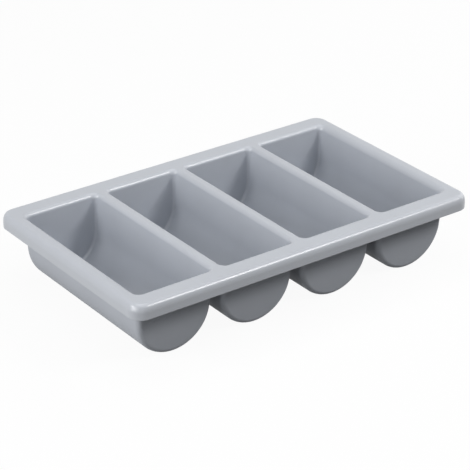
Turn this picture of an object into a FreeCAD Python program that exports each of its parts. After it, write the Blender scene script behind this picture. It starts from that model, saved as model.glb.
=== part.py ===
"""Cutlery dispenser: one moulded plastic tray with four half-round troughs.

Millimetres. +X runs along the long side, +Y to the back and +Z up. The origin is the
centre of the footprint, at the lowest point of the troughs.
"""
import FreeCAD, Part
import math
import os
import Sketcher

# Driving dimensions: cell alias, value and what it measures.
SIZES = (
    ("length", 530.0, "rim over all, along X"),
    ("width", 325.0, "rim over all, along Y"),
    ("height", 100.0, "from the lowest point of the troughs to the top of the rim"),
    ("wall", 2.5, "thickness of the moulding"),
    ("compartments", 4, "number of troughs"),
    ("short_rim", 22.3, "from the outer edge to the first trough, along X"),
    ("long_rim", 31.1, "from the outer edge to the trough ends, along Y"),
    ("divider", 16.2, "between two troughs at the top of the rim"),
    ("draft", 3.0, "lean of the trough walls and ends, degrees"),
    ("trough_corner", 9.0, "inner corner of a trough at the top, seen from above"),
    ("overrun", 0.15, "how far the half-round bottom cuts past the walls, to cross them"),
    ("rim_corner", 19.0, "outer corner of the rim, seen from above"),
    ("rim_round", 7.5, "outer top edge of the rim"),
    ("skirt_depth", 20.0, "rim skirt, from the top down"),
    ("divider_round", 5.7, "mouth edge along a divider"),
    ("short_rim_round", 8.5, "mouth edge along a short rim"),
    ("long_rim_round", 7.0, "mouth edge along a long rim"),
)

MOUTH_WIDTH = (
    "((sizes.length - 2 * sizes.short_rim - (sizes.compartments - 1) * sizes.divider)"
    " / sizes.compartments)"
)
MOUTH_LENGTH = "(sizes.width - 2 * sizes.long_rim)"
PITCH = f"({MOUTH_WIDTH} + sizes.divider)"
DRAFT = "(sizes.draft * 1 deg)"
INNER_DEPTH = "(sizes.height - sizes.wall)"

TOLERANCE = 0.001
QUARTER_TURN = math.pi / 2


def make_sheet(doc):
    """Make the spreadsheet of driving dimensions."""
    sheet = doc.addObject("Spreadsheet::Sheet", "sizes")
    for row, (alias, value, meaning) in enumerate(SIZES, start=1):
        sheet.set(f"A{row}", meaning)
        sheet.set(f"B{row}", str(value))
        sheet.setAlias(f"B{row}", alias)
    doc.recompute()


def number(doc, expression):
    """Work out an expression on the spreadsheet as a plain number."""
    result = doc.getObject("sizes").evalExpression(expression.replace("sizes.", ""))
    return float(getattr(result, "Value", result))


def new_sketch(body, name, role):
    """Add a sketch on one of the body's own origin planes."""
    sketch = body.newObject("Sketcher::SketchObject", name)
    plane = next(item for item in body.Origin.OriginFeatures if item.Role == role)
    sketch.AttachmentSupport = (plane, [""])
    sketch.MapMode = "FlatFace"
    return sketch


def bind(sketch, name, constraint, expression):
    """Add a named constraint whose value follows the spreadsheet."""
    index = sketch.addConstraint(constraint)
    sketch.renameConstraint(index, name)
    sketch.setExpression(f"Constraints.{name}", expression)


def draw_rounded_rectangle(sketch, size_x, size_y, corner):
    """Draw a centred rectangle with round corners: arcs 0, 2, 4, 6 and lines 1, 3, 5, 7."""
    doc = sketch.Document
    half_x = number(doc, size_x) / 2
    half_y = number(doc, size_y) / 2
    radius = number(doc, corner)
    arcs = []
    for turn, (sign_x, sign_y) in enumerate(((1, 1), (-1, 1), (-1, -1), (1, -1))):
        centre = FreeCAD.Vector(sign_x * (half_x - radius), sign_y * (half_y - radius), 0)
        circle = Part.Circle(centre, FreeCAD.Vector(0, 0, 1), radius)
        start = turn * QUARTER_TURN
        arcs.append(Part.ArcOfCircle(circle, start, start + QUARTER_TURN))
    for arc, following in zip(arcs, arcs[1:] + arcs[:1]):
        sketch.addGeometry(arc, False)
        sketch.addGeometry(Part.LineSegment(arc.EndPoint, following.StartPoint), False)
    for edge in range(8):
        sketch.addConstraint(Sketcher.Constraint("Tangent", edge, 2, (edge + 1) % 8, 1))
    for line in (1, 5):
        sketch.addConstraint(Sketcher.Constraint("Horizontal", line))
    for line in (3, 7):
        sketch.addConstraint(Sketcher.Constraint("Vertical", line))
    for arc in (2, 4, 6):
        sketch.addConstraint(Sketcher.Constraint("Equal", 0, arc))
    bind(sketch, "corner", Sketcher.Constraint("Radius", 0, radius), corner)
    for name, kind, near, far, value, size in (
        ("right", "DistanceX", (-1, 1), (7, 1), half_x, size_x),
        ("left", "DistanceX", (3, 1), (-1, 1), half_x, size_x),
        ("back", "DistanceY", (-1, 1), (1, 1), half_y, size_y),
        ("front", "DistanceY", (5, 1), (-1, 1), half_y, size_y),
    ):
        bind(sketch, name, Sketcher.Constraint(kind, *near, *far, value), f"{size} / 2")


def draw_below_half_round(sketch, radius, centre_depth, reach, floor):
    """Draw what lies below the half-round bottom: arc 0, then lines 1 to 5 round it."""
    doc = sketch.Document
    lean = math.radians(number(doc, "sizes.draft"))
    arc_radius = number(doc, radius)
    middle = -number(doc, centre_depth)
    side = number(doc, reach)
    bottom = -number(doc, floor)
    half_chord = f"{radius} * cos({DRAFT})"
    circle = Part.Circle(FreeCAD.Vector(0, middle, 0), FreeCAD.Vector(0, 0, 1), arc_radius)
    arc = Part.ArcOfCircle(circle, math.pi + lean, 2 * math.pi - lean)
    sketch.addGeometry(arc, False)
    level = arc.EndPoint.y
    corners = [arc.EndPoint]
    corners += [
        FreeCAD.Vector(x, y, 0)
        for x, y in ((side, level), (side, bottom), (-side, bottom), (-side, level))
    ]
    corners.append(arc.StartPoint)
    for start, end in zip(corners, corners[1:]):
        sketch.addGeometry(Part.LineSegment(start, end), False)
    sketch.addConstraint(Sketcher.Constraint("Coincident", 0, 2, 1, 1))
    for line in (1, 2, 3, 4):
        sketch.addConstraint(Sketcher.Constraint("Coincident", line, 2, line + 1, 1))
    sketch.addConstraint(Sketcher.Constraint("Coincident", 5, 2, 0, 1))
    for line in (1, 3, 5):
        sketch.addConstraint(Sketcher.Constraint("Horizontal", line))
    for line in (2, 4):
        sketch.addConstraint(Sketcher.Constraint("Vertical", line))
    sketch.addConstraint(Sketcher.Constraint("PointOnObject", 0, 3, -2))
    for name, constraint, expression in (
        ("radius", Sketcher.Constraint("Radius", 0, arc_radius), radius),
        ("centre", Sketcher.Constraint("DistanceY", 0, 3, -1, 1, -middle), centre_depth),
        ("chord", Sketcher.Constraint("DistanceX", -1, 1, 0, 2, corners[0].x), half_chord),
        ("mirrored", Sketcher.Constraint("DistanceX", 0, 1, -1, 1, corners[0].x), half_chord),
        ("right", Sketcher.Constraint("DistanceX", -1, 1, 2, 1, side), reach),
        ("left", Sketcher.Constraint("DistanceX", 4, 1, -1, 1, side), reach),
        ("floor", Sketcher.Constraint("DistanceY", 3, 1, -1, 1, -bottom), floor),
    ):
        bind(sketch, name, constraint, expression)


def edge_names(shape, level, wanted=None):
    """Name the level edges of a shape at one height, such as Edge7, in its own frame."""
    names = []
    for index, edge in enumerate(shape.Edges, start=1):
        box = edge.BoundBox
        flat = abs(box.ZMin - level) < TOLERANCE and abs(box.ZMax - level) < TOLERANCE
        if flat and (wanted is None or wanted(edge)):
            names.append(f"Edge{index}")
    return names


def add_fillet(body, name, base, level, radius):
    """Round every level edge of a feature at one height."""
    fillet = body.newObject("PartDesign::Fillet", name)
    fillet.Base = (base, edge_names(base.Shape, level))
    fillet.setExpression("Radius", radius)
    body.Document.recompute()
    return fillet


def make_rim(doc):
    """Rim: a flat top with a rounded outer edge and a skirt, hollow from below."""
    rim = doc.addObject("PartDesign::Body", "rim")
    rim.setExpression("Placement.Base.z", "sizes.height")
    outline = new_sketch(rim, "rim_outline", "XY_Plane")
    draw_rounded_rectangle(outline, "sizes.length", "sizes.width", "sizes.rim_corner")
    slab = rim.newObject("PartDesign::Pad", "rim_slab")
    slab.Profile = outline
    slab.Reversed = True
    slab.setExpression("Length", "sizes.skirt_depth")
    doc.recompute()
    rounded = add_fillet(rim, "rim_outer_round", slab, 0.0, "sizes.rim_round")

    hollow = new_sketch(rim, "channel_outline", "XY_Plane")
    hollow.setExpression("AttachmentOffset.Base.z", "-sizes.wall")
    draw_rounded_rectangle(
        hollow,
        "(sizes.length - 2 * sizes.wall)",
        "(sizes.width - 2 * sizes.wall)",
        "(sizes.rim_corner - sizes.wall)",
    )
    channel = rim.newObject("PartDesign::Pocket", "rim_channel")
    channel.Profile = hollow
    channel.Type = "ThroughAll"
    doc.recompute()
    if channel.Shape.Volume >= rounded.Shape.Volume:
        raise RuntimeError("the rim channel cuts nothing")
    wall = number(doc, "sizes.wall")
    add_fillet(rim, "channel_round", channel, -wall, "sizes.rim_round - sizes.wall")
    return rim


def make_trough(doc, name, index, margin, rise):
    """Make one trough as a solid block: a drafted box whose bottom is half-round.

    margin is how far the block stands outside the inner surface of the trough, and
    rise is how far its top is above the rim. Both are expressions. The box is deeper
    than the trough by the wall, which the half-round bottom cuts off again.
    """
    body = doc.addObject("PartDesign::Body", f"{name}_{index + 1}")
    body.setExpression("Placement.Base.x", f"({index} - (sizes.compartments - 1) / 2) * {PITCH}")
    body.setExpression("Placement.Base.z", "sizes.height")
    spread = f"({margin} / cos({DRAFT}) + {rise} * tan({DRAFT}))"
    depth = f"({INNER_DEPTH} + {margin})"
    half_width = f"({MOUTH_WIDTH} / 2 + {margin} / cos({DRAFT}))"
    tangent = f"(({half_width} * cos({DRAFT}) - {depth} * sin({DRAFT})) / (1 - sin({DRAFT})))"
    radius = f"({tangent} + sizes.overrun)"

    plan = new_sketch(body, f"{body.Name}_plan", "XY_Plane")
    plan.setExpression("AttachmentOffset.Base.z", rise)
    draw_rounded_rectangle(
        plan,
        f"({MOUTH_WIDTH} + 2 * {spread})",
        f"({MOUTH_LENGTH} + 2 * {spread})",
        f"(sizes.trough_corner + {spread})",
    )
    block = body.newObject("PartDesign::Pad", f"{body.Name}_block")
    block.Profile = plan
    block.Reversed = True
    block.setExpression("Length", f"{depth} + {rise} + sizes.wall")
    block.setExpression("TaperAngle", f"-{DRAFT}")
    doc.recompute()

    ends = new_sketch(body, f"{body.Name}_below", "XZ_Plane")
    draw_below_half_round(
        ends, radius, f"({depth} - {radius})", f"({MOUTH_WIDTH} + {margin})", f"(2 * {depth})"
    )
    bottom = body.newObject("PartDesign::Pocket", f"{body.Name}_bottom")
    bottom.Profile = ends
    bottom.Type = "ThroughAll"
    bottom.Midplane = True
    doc.recompute()
    if bottom.Shape.Volume >= block.Shape.Volume:
        raise RuntimeError(f"the half-round bottom of {body.Name} cuts nothing")
    return body


def mouth_round(doc, edge):
    """Give the round of one straight side of a mouth."""
    middle = edge.CenterOfMass
    outermost = number(doc, "sizes.length / 2 - sizes.short_rim")
    divider = number(doc, "sizes.divider")
    if edge.BoundBox.XLength > edge.BoundBox.YLength:
        return number(doc, "sizes.long_rim_round")
    if abs(middle.x) > outermost - divider:
        return number(doc, "sizes.short_rim_round")
    return number(doc, "sizes.divider_round")


def round_mouths(doc, name, base, depth):
    """Round the edges of all mouths at a depth below the rim's top.

    Each straight side has its own radius, less the depth. Along the corners, which the
    fillet takes in by itself, the radius changes from one side's to the next side's.
    """
    level = number(doc, "sizes.height") - depth
    reach_x = number(doc, "sizes.length / 2 - sizes.short_rim + sizes.divider / 2")
    reach_y = number(doc, f"{MOUTH_LENGTH} / 2 + sizes.divider / 2")

    def straight_in_mouths(edge):
        box = edge.BoundBox
        inside = max(-box.XMin, box.XMax) < reach_x and max(-box.YMin, box.YMax) < reach_y
        return inside and edge.Curve.TypeId == "Part::GeomLine"

    fillet = doc.addObject("Part::Fillet", name)
    fillet.Base = base
    edges = []
    for edge_name in edge_names(base.Shape, level, straight_in_mouths):
        radius = mouth_round(doc, base.Shape.getElement(edge_name)) - depth
        edges.append((int(edge_name.removeprefix("Edge")), radius, radius))
    fillet.Edges = edges
    doc.recompute()
    return fillet


def make_tray(doc):
    """Join the rim and the trough shells, hollow them out and round the mouths."""
    count = round(number(doc, "sizes.compartments"))
    wall = number(doc, "sizes.wall")
    outside = doc.addObject("Part::MultiFuse", "outside")
    outside.Shapes = [make_rim(doc)] + [
        make_trough(doc, "trough_shell", index, "sizes.wall", "(-sizes.wall / 2)")
        for index in range(count)
    ]
    doc.recompute()
    bent = round_mouths(doc, "underside_rounds", outside, wall)

    hollows = doc.addObject("Part::Compound", "hollows")
    hollows.Links = [
        make_trough(doc, "trough_hollow", index, "0", "(2 * sizes.wall)")
        for index in range(count)
    ]
    hollowed = doc.addObject("Part::Cut", "hollowed")
    hollowed.Base = bent
    hollowed.Tool = hollows
    doc.recompute()
    tray = round_mouths(doc, "tray", hollowed, 0.0)
    tray.Label = "tray"
    return tray


def check(doc, pieces):
    """Stop if an object failed or a sub-part has no sound solid."""
    for item in doc.Objects:
        if "Invalid" in item.State or "Error" in item.State:
            raise RuntimeError(f"{item.Name} failed: {item.State}")
    for piece in pieces:
        if piece.Shape.isNull() or not piece.Shape.isValid() or len(piece.Shape.Solids) != 1:
            raise RuntimeError(f"{piece.Label} isn't one sound solid")


def export(pieces):
    """Write each sub-part to its own STEP file, named by its label."""
    os.makedirs("parts", exist_ok=True)
    for piece in pieces:
        piece.Shape.exportStep(f"parts/{piece.Label}.step")
        size = piece.Shape.BoundBox
        print(f"{piece.Label}: {size.XLength:.2f} x {size.YLength:.2f} x {size.ZLength:.2f} mm,"
              f" lowest {size.ZMin:.3f}, volume {piece.Shape.Volume / 1000:.1f} cm3")


document = FreeCAD.newDocument("cutlery_dispenser")
make_sheet(document)
sub_parts = [make_tray(document)]
check(document, sub_parts)
export(sub_parts)
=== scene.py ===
"""Cutlery dispenser: the dressed model of one moulded grey tray.

Metres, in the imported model's frame: +X along the long side, +Y to the back, +Z up, with
the origin at the centre of the footprint. Heights in the classes below are measured
from the top of the rim.
"""
import logging
import math
from dataclasses import dataclass, field
from enum import Enum

import bpy
from mathutils import Matrix, Vector, geometry


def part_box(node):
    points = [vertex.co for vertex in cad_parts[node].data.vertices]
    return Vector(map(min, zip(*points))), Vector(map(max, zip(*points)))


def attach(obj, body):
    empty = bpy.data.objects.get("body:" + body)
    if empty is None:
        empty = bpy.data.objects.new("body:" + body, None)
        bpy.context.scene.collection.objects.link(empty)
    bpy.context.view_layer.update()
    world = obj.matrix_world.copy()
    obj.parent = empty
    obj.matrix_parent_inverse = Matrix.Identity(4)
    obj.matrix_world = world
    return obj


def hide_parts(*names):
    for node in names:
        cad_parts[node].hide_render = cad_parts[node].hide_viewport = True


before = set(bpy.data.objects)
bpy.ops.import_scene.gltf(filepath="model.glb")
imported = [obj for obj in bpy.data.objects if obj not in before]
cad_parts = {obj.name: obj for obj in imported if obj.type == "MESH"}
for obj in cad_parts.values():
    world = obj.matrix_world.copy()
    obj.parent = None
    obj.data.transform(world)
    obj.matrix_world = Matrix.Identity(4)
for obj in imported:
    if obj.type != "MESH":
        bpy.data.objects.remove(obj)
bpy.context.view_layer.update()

LOG = logging.getLogger("cutlery_dispenser")
MM = 0.001
QUARTER_TURN = 90.0
UP = Vector((0.0, 0.0, 1.0))
MATT_SHARE = "matt_share"


class Face(Enum):
    """The two faces of the moulding's wall."""

    TOP = "what shows from above"
    UNDER = "what shows from below"


class Finish(Enum):
    """The record's material slots."""

    PLASTIC = "plastic"


def turn(start: Vector, end: Vector, share: float) -> Vector:
    """Turn a unit vector part of the way to another one.

    Args:
        start: Unit vector at share 0.
        end: Unit vector at share 1.
        share: How far to turn, from 0 to 1.

    Returns:
        The turned unit vector.
    """
    angle = start.angle(end)
    near = math.sin((1.0 - share) * angle)
    far = math.sin(share * angle)
    return (start * near + end * far).normalized()


def facing_out(degrees: float) -> Vector:
    """Give the flat unit vector at an angle from the first axis."""
    return Vector((math.cos(math.radians(degrees)), math.sin(math.radians(degrees))))


def steps(count: int) -> list[float]:
    """Give count + 1 even shares from 0 to 1."""
    return [index / count for index in range(count + 1)]


def eased(share: float) -> float:
    """Ease a share from 0 to 1 so that it starts and ends level."""
    return share * share * (3.0 - 2.0 * share)


@dataclass
class Skin:
    """A mesh under construction, whose vertices carry the true surface normals.

    Points closer than the weld distance are one vertex. Vertices that are added while
    the side is UNDER get the matt finish.
    """

    points: list[Vector] = field(default_factory=list)
    normals: list[Vector] = field(default_factory=list)
    matt: list[float] = field(default_factory=list)
    faces: list[tuple[int, ...]] = field(default_factory=list)
    known: dict[tuple[int, int, int], int] = field(default_factory=dict)
    side: Face = Face.TOP
    weld: float = 0.001 * MM
    plate_weld: float = 0.0001 * MM

    def vertex(self, point: Vector, normal: Vector) -> int:
        """Add a vertex, or find the one that is already there.

        Args:
            point: Where it is.
            normal: The surface normal there, out of the material.

        Returns:
            Its index.
        """
        key = tuple(round(value / self.weld) for value in point)
        if key not in self.known:
            self.known[key] = len(self.points)
            self.points.append(point.copy())
            self.normals.append(normal.normalized())
            self.matt.append(1.0 if self.side is Face.UNDER else 0.0)
        return self.known[key]

    def polygon(self, corners: list[int]) -> None:
        """Add a face with its front to the open air, unless it has shrunk to a line.

        Args:
            corners: Vertex indices in order round the face.
        """
        kept = [corner for place, corner in enumerate(corners) if corner != corners[place - 1]]
        if len(set(kept)) < 3:
            return
        flat = geometry.normal([self.points[corner] for corner in kept])
        wanted = sum((self.normals[corner] for corner in kept), Vector())
        if flat.dot(wanted) < 0.0:
            kept.reverse()
        self.faces.append(tuple(kept))

    def sheet(self, rows: list[list[tuple[Vector, Vector]]], closed: bool = False) -> None:
        """Add the faces between rows of points.

        Args:
            rows: Rows of (point, normal), all of one length.
            closed: Whether each row's last point joins its first.
        """
        indices = [[self.vertex(*entry) for entry in row] for row in rows]
        width = len(indices[0])
        for upper, lower in zip(indices, indices[1:]):
            for place in range(width if closed else width - 1):
                following = (place + 1) % width
                self.polygon([upper[place], upper[following], lower[following], lower[place]])

    def plate(self, outline: list[Vector], holes: list[list[Vector]], normal: Vector) -> None:
        """Fill a level outline that has holes in it.

        Args:
            outline: Points round the outside.
            holes: Points round each hole.
            normal: The plate's normal.
        """
        rings = [[point.to_2d() for point in hole] for hole in holes]
        flat = [point.to_2d() for point in outline]
        edges = ring_edges(0, len(flat))
        for ring in rings:
            edges += ring_edges(len(flat), len(ring))
            flat += ring
        only_inside = 1
        spots, _, triangles, *_ = geometry.delaunay_2d_cdt(
            flat, edges, [], only_inside, self.plate_weld
        )
        lift = UP * outline[0].z
        for triangle in triangles:
            corners = [spots[corner] for corner in triangle]
            middle = sum(corners, Vector((0.0, 0.0))) / len(corners)
            if not any(inside(middle, ring) for ring in rings):
                self.polygon([self.vertex(corner.to_3d() + lift, normal) for corner in corners])

    def build(self, name: str, material: bpy.types.Material) -> bpy.types.Object:
        """Make the Blender object.

        Args:
            name: The object's name.
            material: Its finish.

        Returns:
            The object, linked to the scene and smooth shaded with its true normals.
        """
        mesh = bpy.data.meshes.new(name)
        mesh.from_pydata([tuple(point) for point in self.points], [], self.faces)
        mesh.materials.append(material)
        mesh.polygons.foreach_set("use_smooth", [True] * len(mesh.polygons))
        mesh.attributes.new(MATT_SHARE, "FLOAT", "POINT").data.foreach_set("value", self.matt)
        mesh.normals_split_custom_set_from_vertices([tuple(normal) for normal in self.normals])
        mesh.update()
        piece = bpy.data.objects.new(name, mesh)
        bpy.context.scene.collection.objects.link(piece)
        return piece


def ring_edges(first: int, count: int) -> list[tuple[int, int]]:
    """Pair up the indices of the points of a closed ring, from the first one on."""
    return [(first + place, first + (place + 1) % count) for place in range(count)]


def inside(spot: Vector, ring: list[Vector]) -> bool:
    """Say whether a flat point is inside a closed ring.

    Args:
        spot: The point.
        ring: The ring's points in order.

    Returns:
        True if it is inside.
    """
    crossings = 0
    for start, end in zip(ring, ring[1:] + ring[:1]):
        if (start.y > spot.y) != (end.y > spot.y):
            reach = start.x + (spot.y - start.y) * (end.x - start.x) / (end.y - start.y)
            crossings += reach > spot.x
    return crossings % 2 == 1


@dataclass(frozen=True)
class Moulding:
    """Sizes that the rim and the compartments share."""

    length: float
    width: float
    height: float
    wall: float = 2.5 * MM
    compartments: int = 4
    short_rim: float = 22.3 * MM
    long_rim: float = 31.1 * MM
    divider: float = 16.2 * MM
    draft: float = math.radians(3.0)

    @classmethod
    def from_frame(cls) -> "Moulding":
        """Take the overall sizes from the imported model."""
        low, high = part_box("tray")
        return cls(high[0] - low[0], high[1] - low[1], high[2])

    @property
    def mouth_width(self) -> float:
        """Width of one compartment at the top of the rim."""
        free = self.length - 2 * self.short_rim - (self.compartments - 1) * self.divider
        return free / self.compartments

    @property
    def mouth_length(self) -> float:
        """Length of one compartment at the top of the rim."""
        return self.width - 2 * self.long_rim

    @property
    def pitch(self) -> float:
        """Distance from one compartment to the next."""
        return self.mouth_width + self.divider

    def offset(self, face: Face) -> float:
        """How far a face of the wall is from the top face."""
        return self.wall if face is Face.UNDER else 0.0

    def outward(self, face: Face) -> float:
        """Sign that turns a direction into the wall from above into a normal to the air."""
        return 1.0 if face is Face.UNDER else -1.0

    def placed(self, point: Vector) -> Vector:
        """Put a point that is measured from the rim's top into the part's frame."""
        return point + UP * self.height


@dataclass
class Trough:
    """One half-round compartment with drafted walls and ends.

    A ball of the corner's radius would fit along the ends' edges. Near the top the
    corners open out to a larger radius.
    """

    moulding: Moulding
    centre: float
    left_round: float
    right_round: float
    end_round: float = 7.0 * MM
    corner: float = 4.5 * MM
    flare: float = 4.5 * MM
    flare_depth: float = 25.0 * MM
    wall_rows: int = 7
    arc_rows: int = 44
    corner_steps: int = 10
    end_steps: int = 3
    lengths: int = 6
    round_steps: int = 9

    def __post_init__(self) -> None:
        """Work out the half-round bottom, which the walls run into smoothly."""
        lean = self.moulding.draft
        half = self.moulding.mouth_width / 2
        depth = self.moulding.height - self.moulding.wall
        self.radius = (half * math.cos(lean) - depth * math.sin(lean)) / (1.0 - math.sin(lean))
        self.middle = self.radius - depth
        self.end_normal = Vector((0.0, math.cos(lean), -math.sin(lean)))

    def ball(self, height: float, radius: float) -> tuple[float, float]:
        """Find the centre of a ball that touches a side wall and an end.

        Args:
            height: Height of the ball's centre.
            radius: The ball's radius.

        Returns:
            The half width and half length at that height.
        """
        lean = self.moulding.draft
        shift = height * math.tan(lean) - radius / math.cos(lean)
        return self.moulding.mouth_width / 2 + shift, self.moulding.mouth_length / 2 + shift

    def tilted(self, normal: Vector, height: float) -> Vector:
        """Turn a corner's normal to suit the radius that grows towards the top.

        Args:
            normal: The normal of a corner that doesn't open out.
            height: Height on the corner.

        Returns:
            The true normal, which is the same on the flat walls.
        """
        lean = self.moulding.draft
        growth = self.flare / self.flare_depth if height > -self.flare_depth else 0.0
        upward = Vector((math.tan(lean), math.tan(lean), 1.0))
        move = upward - Vector((1.0, 1.0, 0.0)) * (growth / math.cos(lean)) + normal * growth
        edge = upward.normalized()
        return (normal * edge.dot(move) - edge * normal.dot(move)).normalized()

    def mouth_round(self, side: int, share: float) -> float:
        """Give the radius of the mouth's edge.

        Args:
            side: -1 for the left side and 1 for the right.
            share: 0 along the side, 1 along the end, and between them round the corner.

        Returns:
            The radius on the top face.
        """
        along = self.left_round if side < 0 else self.right_round
        return along + (self.end_round - along) * eased(share)

    def stations(self) -> list[tuple[float, float, float]]:
        """List places from the middle of the length, round a corner to the middle of an end.

        Returns:
            Tuples of (share of the length, share of the corner, share of the end).
        """
        places = [(share, 0.0, 0.0) for share in steps(self.lengths)]
        places += [(1.0, share, 0.0) for share in steps(self.corner_steps)[1:]]
        places += [(1.0, 1.0, share) for share in steps(self.end_steps)[1:]]
        return places

    def wall_point(
        self, face: Face, side: int, end: int, down: float, place: tuple[float, float, float]
    ) -> tuple[Vector, Vector]:
        """Find a point of the straight walls above the half-round bottom.

        Args:
            face: Which face of the wall.
            side: -1 for the left side and 1 for the right.
            end: -1 for the front end and 1 for the back.
            down: 0 at the top and 1 where the half-round begins.
            place: One of the stations.

        Returns:
            The point and the direction from the compartment into the wall.
        """
        along, bend, across = place
        lean = self.moulding.draft
        offset = self.moulding.offset(face)
        side_normal = Vector((math.cos(lean), 0.0, -math.sin(lean)))
        normal = turn(side_normal, self.end_normal, bend)
        inner = self.mouth_round(side, bend)
        leaning = self.tilted(normal, -inner).z
        top = -inner * (1.0 + leaning) + leaning * offset
        low_centre = self.middle - (self.radius - self.corner) * math.sin(lean)
        bottom = low_centre + (self.corner + offset) * normal.z
        if across > 0.0:
            bottom += (self.radius - self.corner) * math.sin(lean) * across
        height = top + (bottom - top) * down
        radius = self.corner + self.flare * max(0.0, 1.0 + height / self.flare_depth)
        reach = radius + offset
        half_width, half_length = self.ball(height - reach * normal.z, radius)
        point = Vector((half_width, half_length * along, 0.0))
        point.x = (point.x + reach * normal.x) * (1.0 - across)
        point.y += reach * normal.y
        point.z = height
        return self.mirrored(point, self.tilted(normal, height), side, end)

    def arc_point(
        self, face: Face, around: float, end: int, place: tuple[float, float, float]
    ) -> tuple[Vector, Vector]:
        """Find a point of the half-round bottom or of its ends.

        Args:
            face: Which face of the wall.
            around: 0 at the left wall and 1 at the right.
            end: -1 for the front end and 1 for the back.
            place: One of the stations.

        Returns:
            The point and the direction from the compartment into the wall.
        """
        along, bend, across = place
        lean = self.moulding.draft
        angle = -math.pi + lean + around * (math.pi - 2.0 * lean)
        down = Vector((math.cos(angle), 0.0, math.sin(angle)))
        normal = turn(down, self.end_normal, bend)
        reach = self.corner + self.moulding.offset(face)
        hub = down * (self.radius - self.corner) * (1.0 - across) + UP * self.middle
        _, half_length = self.ball(hub.z, self.corner)
        point = hub + normal * reach
        point.y = half_length * along + normal.y * reach
        return self.mirrored(point, normal, 1, end)

    def mirrored(
        self, point: Vector, normal: Vector, side: int, end: int
    ) -> tuple[Vector, Vector]:
        """Mirror a point of the back right quarter and move it to this compartment."""
        sign = Vector((side, end, 1.0))
        return (point * sign + Vector((self.centre, 0.0, 0.0))), normal * sign

    def rows(self, face: Face) -> list[list[tuple[Vector, Vector]]]:
        """List the rows of a face, from the left wall round the bottom to the right one.

        Args:
            face: Which face of the wall.

        Returns:
            Rows of (point, direction into the wall), each from the front to the back.
        """
        quarter = self.stations()
        places = [(-1, place) for place in reversed(quarter)]
        places += [(1, place) for place in quarter[1:]]
        wall = steps(self.wall_rows)
        listed = [
            [self.wall_point(face, -1, end, down, place) for end, place in places]
            for down in wall
        ]
        listed += [
            [self.arc_point(face, around, end, place) for end, place in places]
            for around in steps(self.arc_rows)[1:-1]
        ]
        listed += [
            [self.wall_point(face, 1, end, down, place) for end, place in places]
            for down in reversed(wall)
        ]
        return listed

    def mouth(self, face: Face) -> list[list[tuple[Vector, Vector]]]:
        """List the rings of the rounded edge, from the walls out to the rim's flat.

        Args:
            face: Which face of the wall.

        Returns:
            Rings of (point, direction into the wall).
        """
        quarter = self.stations()
        offset = self.moulding.offset(face)
        ring = []
        for side, end in ((1, 1), (-1, 1), (-1, -1), (1, -1)):
            places = quarter if side * end > 0 else quarter[::-1]
            for place in places[:-1]:
                _, bend, _ = place
                point, normal = self.wall_point(face, side, end, 0.0, place)
                ring.append((point, normal, self.mouth_round(side, bend) - offset))
        rings = []
        for share in steps(self.round_steps):
            turned = [turn(normal, -UP, share) for _, normal, _ in ring]
            rings.append([
                (point + (normal - facing) * radius, facing)
                for (point, normal, radius), facing in zip(ring, turned)
            ])
        return rings

    def add_to(self, skin: Skin, face: Face) -> list[Vector]:
        """Add one face of the compartment to the tray.

        Args:
            skin: The tray's mesh.
            face: Which face of the wall.

        Returns:
            The outline of the mouth on the rim's flat.
        """
        placed = self.moulding.placed
        sign = self.moulding.outward(face)
        mouth = self.mouth(face)
        skin.side = face
        for rows, closed in ((self.rows(face), False), (mouth, True)):
            aired = [[(placed(point), normal * sign) for point, normal in row] for row in rows]
            skin.sheet(aired, closed)
        return [placed(point) for point, _ in mouth[-1]]


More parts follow.
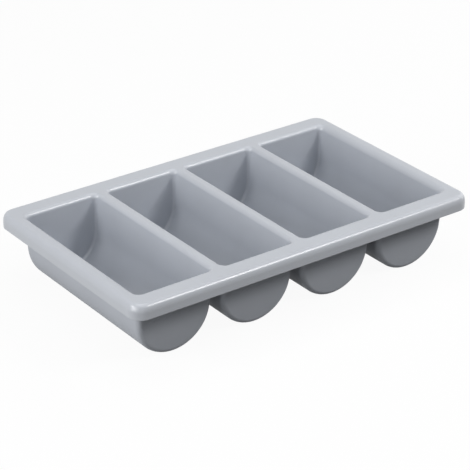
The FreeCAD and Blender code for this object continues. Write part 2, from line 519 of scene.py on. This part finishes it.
@dataclass
class Rim:
    """The flat rim, its rounded outer edge and its skirt, which is open below.

    The edge's round runs on into a much wider one that ends upright on the skirt.
    """

    moulding: Moulding
    corner: float = 19.0 * MM
    edge_round: float = 7.5 * MM
    wide_round: float = 14.0 * MM
    wide_from: float = 30.0
    skirt_depth: float = 20.0 * MM
    lip_round: float = 0.8 * MM
    corner_steps: int = 14
    round_steps: int = 10
    lip_steps: int = 4

    def rounds(self) -> list[tuple[float, float, Vector]]:
        """List the section's outer face, from the rim's flat to the upright skirt.

        Returns:
            Tuples of (distance in from the outer edge, height, normal in the section).
        """
        change = math.radians(self.wide_from)
        step = self.wide_round - self.edge_round
        edge_inset = self.wide_round - step * math.cos(change)
        wide_height = -self.edge_round - step * math.sin(change)
        arcs = (
            (edge_inset, -self.edge_round, self.edge_round, QUARTER_TURN, self.wide_from),
            (self.wide_round, wide_height, self.wide_round, self.wide_from, 0.0),
        )
        section = []
        for inset, height, radius, start, end in arcs:
            for share in steps(self.round_steps):
                out = facing_out(start + (end - start) * share)
                section.append((inset - radius * out.x, height + radius * out.y, out))
        return section

    def profile(self) -> list[tuple[float, float, Vector]]:
        """List the section from the rim's flat, over the skirt's lip, to the flat below.

        Returns:
            Tuples of (distance in from the outer edge, height, normal in the section).
        """
        wall = self.moulding.wall
        lip = self.lip_round
        outer = self.rounds()
        section = list(outer)
        for inset, quarters in ((lip, 0.0), (wall - lip, 1.0)):
            for share in steps(self.lip_steps):
                out = facing_out(-QUARTER_TURN * (quarters + share))
                section.append((inset - lip * out.x, lip * (1.0 + out.y) - self.skirt_depth, out))
        section += [
            (inset + wall * out.x, height - wall * out.y, -out)
            for inset, height, out in reversed(outer)
        ]
        return section

    def loop(self, inset: float, height: float, out: Vector) -> list[tuple[Vector, Vector]]:
        """Run a point of the section round the rim.

        Args:
            inset: Distance in from the outer edge.
            height: Height from the rim's top.
            out: Normal in the section, outward and up.

        Returns:
            The loop's points and normals, in the part's frame.
        """
        radius = self.corner - inset
        hub_x = self.moulding.length / 2 - self.corner
        hub_y = self.moulding.width / 2 - self.corner
        entries = []
        for quarter, (sign_x, sign_y) in enumerate(((1, 1), (-1, 1), (-1, -1), (1, -1))):
            centre = Vector((hub_x * sign_x, hub_y * sign_y, height))
            for share in steps(self.corner_steps):
                way = facing_out(QUARTER_TURN * (quarter + share)).to_3d()
                point = self.moulding.placed(centre + way * radius)
                entries.append((point, way * out.x + UP * out.y))
        return entries

    def add_to(
        self, skin: Skin, top_holes: list[list[Vector]], under_holes: list[list[Vector]]
    ) -> None:
        """Add the rim to the tray.

        Args:
            skin: The tray's mesh.
            top_holes: The mouths' outlines on the top flat.
            under_holes: Their outlines on the flat below.
        """
        loops = [self.loop(*entry) for entry in self.profile()]
        inner_start = len(loops) - len(self.rounds())
        skin.side = Face.TOP
        skin.plate([point for point, _ in loops[0]], top_holes, UP)
        skin.sheet(loops[:inner_start], closed=True)
        skin.side = Face.UNDER
        skin.sheet(loops[inner_start - 1:], closed=True)
        skin.plate([point for point, _ in loops[-1]], under_holes, -UP)


@dataclass(frozen=True)
class MouldedPlastic:
    """Grey polypropylene from a finely spark-eroded mould.

    Wide faint clouds vary its tint and sheen. The roughness less its spread is kept at
    0.28: where it crosses about 0.27, the denoised render shows hard-edged flakes.
    """

    colour: tuple[float, float, float] = (0.49, 0.515, 0.56)
    darkest: float = 0.975
    palest: float = 1.02
    roughness: float = 0.31
    roughness_spread: float = 0.03
    gloss: float = 0.9
    matt_roughness: float = 0.6
    matt_gloss: float = 0.15
    grain_size: float = 0.45 * MM
    grain_depth: float = 0.007 * MM
    grain_detail: float = 2.0
    cloud_size: float = 60.0 * MM
    cloud_detail: float = 4.0
    cloud_range: tuple[float, float] = (0.3, 0.7)

    def material(self, name: str) -> bpy.types.Material:
        """Make the material.

        Args:
            name: The material's name.

        Returns:
            The procedural material.
        """
        material = bpy.data.materials.new(name)
        material.use_nodes = True
        nodes = material.node_tree.nodes
        links = material.node_tree.links
        shader = nodes["Principled BSDF"]
        matt = nodes.new("ShaderNodeAttribute")
        matt.attribute_name = MATT_SHARE
        gloss = nodes.new("ShaderNodeMapRange")
        gloss.inputs["To Min"].default_value = self.gloss
        gloss.inputs["To Max"].default_value = self.matt_gloss
        links.new(matt.outputs["Fac"], gloss.inputs["Value"])
        links.new(gloss.outputs["Result"], shader.inputs["Specular IOR Level"])
        place = nodes.new("ShaderNodeTexCoord")

        clouds = nodes.new("ShaderNodeTexNoise")
        clouds.inputs["Scale"].default_value = 1.0 / self.cloud_size
        clouds.inputs["Detail"].default_value = self.cloud_detail
        links.new(place.outputs["Object"], clouds.inputs["Vector"])
        tint = nodes.new("ShaderNodeValToRGB")
        stops = zip(tint.color_ramp.elements, self.cloud_range, (self.darkest, self.palest))
        for stop, position, level in stops:
            stop.position = position
            stop.color = (*(level * part for part in self.colour), 1.0)
        links.new(clouds.outputs["Fac"], tint.inputs["Fac"])
        links.new(tint.outputs["Color"], shader.inputs["Base Color"])

        sheen = nodes.new("ShaderNodeMapRange")
        sheen.inputs["To Min"].default_value = self.roughness - self.roughness_spread
        sheen.inputs["To Max"].default_value = self.roughness + self.roughness_spread
        links.new(clouds.outputs["Fac"], sheen.inputs["Value"])
        dulled = nodes.new("ShaderNodeMapRange")
        dulled.inputs["To Max"].default_value = self.matt_roughness
        links.new(matt.outputs["Fac"], dulled.inputs["Value"])
        links.new(sheen.outputs["Result"], dulled.inputs["To Min"])
        links.new(dulled.outputs["Result"], shader.inputs["Roughness"])

        grain = nodes.new("ShaderNodeTexNoise")
        grain.inputs["Scale"].default_value = 1.0 / self.grain_size
        grain.inputs["Detail"].default_value = self.grain_detail
        links.new(place.outputs["Object"], grain.inputs["Vector"])
        bump = nodes.new("ShaderNodeBump")
        bump.inputs["Strength"].default_value = 1.0
        bump.inputs["Distance"].default_value = self.grain_depth
        links.new(grain.outputs["Fac"], bump.inputs["Height"])
        links.new(bump.outputs["Normal"], shader.inputs["Normal"])
        return material


@dataclass
class Tray:
    """The whole moulding: a rim and a row of compartments, in one skin."""

    moulding: Moulding
    short_rim_round: float = 8.5 * MM
    divider_round: float = 5.7 * MM
    finish: MouldedPlastic = field(default_factory=MouldedPlastic)

    def troughs(self) -> list[Trough]:
        """List the compartments from left to right.

        Returns:
            The compartments, with the larger mouth rounds at the short rims.
        """
        last = self.moulding.compartments - 1
        return [
            Trough(
                self.moulding,
                centre=(index - last / 2) * self.moulding.pitch,
                left_round=self.short_rim_round if index == 0 else self.divider_round,
                right_round=self.short_rim_round if index == last else self.divider_round,
            )
            for index in range(last + 1)
        ]

    def build(self) -> bpy.types.Object:
        """Make the tray's piece, dress it and hang it on the frame.

        Returns:
            The piece.
        """
        skin = Skin()
        holes = {face: [trough.add_to(skin, face) for trough in self.troughs()] for face in Face}
        Rim(self.moulding).add_to(skin, holes[Face.TOP], holes[Face.UNDER])
        piece = skin.build("moulded_tray", self.finish.material("grey_plastic"))
        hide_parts("tray")
        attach(piece, "root")
        return piece


def grey(level: float) -> tuple[float, float, float, float]:
    """Give a grey as a shader's colour."""
    return (level, level, level, 1.0)


@dataclass(frozen=True)
class Softbox:
    """A square soft light aimed at the tray: sizes in metres and power in watts."""

    name: str
    towards: tuple[float, float, float]
    distance: float
    size: float
    power: float

    def place(self, target: Vector) -> bpy.types.Object:
        """Set up the light.

        Args:
            target: What it is aimed at.

        Returns:
            The light.
        """
        data = bpy.data.lights.new(self.name, "AREA")
        data.shape = "SQUARE"
        data.size = self.size
        data.energy = self.power
        light = bpy.data.objects.new(self.name, data)
        way = Vector(self.towards).normalized()
        light.location = target + way * self.distance
        light.rotation_euler = way.to_track_quat("Z", "Y").to_euler()
        bpy.context.scene.collection.objects.link(light)
        return light


@dataclass
class Studio:
    """A pale floor, soft light and the camera.

    The picture's side, the focal length and the aim are in pixels. The aim is where the
    middle of the rim's top falls, from the picture's top left. The sensor is in
    millimetres. Other lengths are in metres.
    """

    moulding: Moulding
    image: float = 470.0
    sensor: float = 36.0
    focal: float = 2033.5
    distance: float = 2658.2 * MM
    sight: float = 100.0
    azimuth: float = math.radians(36.11)
    elevation: float = math.radians(27.07)
    aim: tuple[float, float] = (236.27, 202.3)
    floor_size: float = 60.0
    floor_bounce: float = 0.15
    floor_paint: float = 0.9
    floor_glow: float = 0.94
    world_light: float = 0.1
    lights: tuple[Softbox, ...] = (
        Softbox("key_light", (0.47, -0.60, 0.64), distance=2.7, size=0.75, power=28.0),
        Softbox("left_spot", (-0.81, 0.18, 0.56), distance=2.5, size=0.5, power=13.0),
        Softbox("left_light", (-1.0, -0.1, 0.18), distance=2.5, size=1.6, power=36.0),
        Softbox("top_light", (0.0, 0.0, 1.0), distance=2.5, size=2.2, power=23.0),
        Softbox("right_light", (1.0, 0.0, 0.5), distance=2.5, size=2.0, power=18.0),
    )

    def camera(self) -> bpy.types.Object:
        """Set up the camera at the photograph's viewing angle.

        Returns:
            The camera.
        """
        turned, tilted = self.azimuth, self.elevation
        ahead = Vector((
            math.sin(turned) * math.cos(tilted),
            math.cos(turned) * math.cos(tilted),
            -math.sin(tilted),
        ))
        right = Vector((math.cos(turned), -math.sin(turned), 0.0))
        above = right.cross(ahead)
        metres_per_pixel = self.distance / self.focal
        across = (self.aim[0] - self.image / 2) * metres_per_pixel
        down = (self.aim[1] - self.image / 2) * metres_per_pixel
        data = bpy.data.cameras.new("camera")
        data.sensor_width = self.sensor
        data.lens = self.sensor * self.focal / self.image
        data.clip_end = self.sight
        camera = bpy.data.objects.new("camera", data)
        spot = self.moulding.placed(-(ahead * self.distance + right * across - above * down))
        axes = Matrix((right, above, -ahead)).transposed()
        camera.matrix_world = Matrix.Translation(spot) @ axes.to_4x4()
        bpy.context.scene.collection.objects.link(camera)
        bpy.context.scene.camera = camera
        return camera

    def floor(self) -> bpy.types.Object:
        """Lay a pale floor that looks white and keeps the tray's shadow.

        Returns:
            The floor.
        """
        half = self.floor_size / 2
        corners = [(-half, -half, 0), (half, -half, 0), (half, half, 0), (-half, half, 0)]
        mesh = bpy.data.meshes.new("floor")
        mesh.from_pydata(corners, [], [(0, 1, 2, 3)])
        floor = bpy.data.objects.new("floor", mesh)
        bpy.context.scene.collection.objects.link(floor)
        material = bpy.data.materials.new("pale_floor")
        material.use_nodes = True
        nodes = material.node_tree.nodes
        links = material.node_tree.links
        nodes.clear()
        dull = nodes.new("ShaderNodeBsdfDiffuse")
        dull.inputs["Color"].default_value = grey(self.floor_bounce)
        pale = nodes.new("ShaderNodeBsdfDiffuse")
        pale.inputs["Color"].default_value = grey(self.floor_paint)
        glow = nodes.new("ShaderNodeEmission")
        glow.inputs["Strength"].default_value = 1.0
        shown = nodes.new("ShaderNodeMixShader")
        shown.inputs["Fac"].default_value = self.floor_glow
        links.new(pale.outputs["BSDF"], shown.inputs[1])
        links.new(glow.outputs["Emission"], shown.inputs[2])
        mix = nodes.new("ShaderNodeMixShader")
        links.new(self.seen(material.node_tree), mix.inputs["Fac"])
        links.new(dull.outputs["BSDF"], mix.inputs[1])
        links.new(shown.outputs["Shader"], mix.inputs[2])
        output = nodes.new("ShaderNodeOutputMaterial")
        links.new(mix.outputs["Shader"], output.inputs["Surface"])
        mesh.materials.append(material)
        return floor

    def seen(self, tree: bpy.types.NodeTree) -> bpy.types.NodeSocket:
        """Add nodes that tell what the camera, a reflection or a clear material shows.

        Args:
            tree: The node tree to add them to.

        Returns:
            A value that is 1 for those rays and 0 for the rest.
        """
        path = tree.nodes.new("ShaderNodeLightPath")
        shown = path.outputs["Is Camera Ray"]
        for other in ("Is Glossy Ray", "Is Transmission Ray"):
            either = tree.nodes.new("ShaderNodeMath")
            either.operation = "MAXIMUM"
            tree.links.new(shown, either.inputs[0])
            tree.links.new(path.outputs[other], either.inputs[1])
            shown = either.outputs["Value"]
        return shown

    def surroundings(self) -> None:
        """Make the world white to the camera and a plain soft light to the tray."""
        world = bpy.data.worlds.new("studio")
        bpy.context.scene.world = world
        world.use_nodes = True
        nodes = world.node_tree.nodes
        links = world.node_tree.links
        background = nodes["Background"]
        background.inputs["Color"].default_value = grey(1.0)
        level = nodes.new("ShaderNodeMapRange")
        level.inputs["To Min"].default_value = self.world_light
        level.inputs["To Max"].default_value = 1.0
        links.new(self.seen(world.node_tree), level.inputs["Value"])
        links.new(level.outputs["Result"], background.inputs["Strength"])

    def build(self) -> None:
        """Set up everything that isn't the tray."""
        scene = bpy.context.scene
        scene.view_settings.view_transform = "Standard"
        self.camera()
        self.floor()
        self.surroundings()
        target = self.moulding.placed(Vector((0.0, 0.0, -self.moulding.height / 2)))
        for light in self.lights:
            light.place(target)


def main() -> None:
    """Build the studio and the tray, in that order, and report each piece."""
    logging.basicConfig(level=logging.INFO)
    moulding = Moulding.from_frame()
    Studio(moulding).build()
    LOG.info("studio ready")
    piece = Tray(moulding).build()
    mesh = piece.data
    LOG.info("%s: %d vertices, %d faces", piece.name, len(mesh.vertices), len(mesh.polygons))


if __name__ == "__main__":
    main()
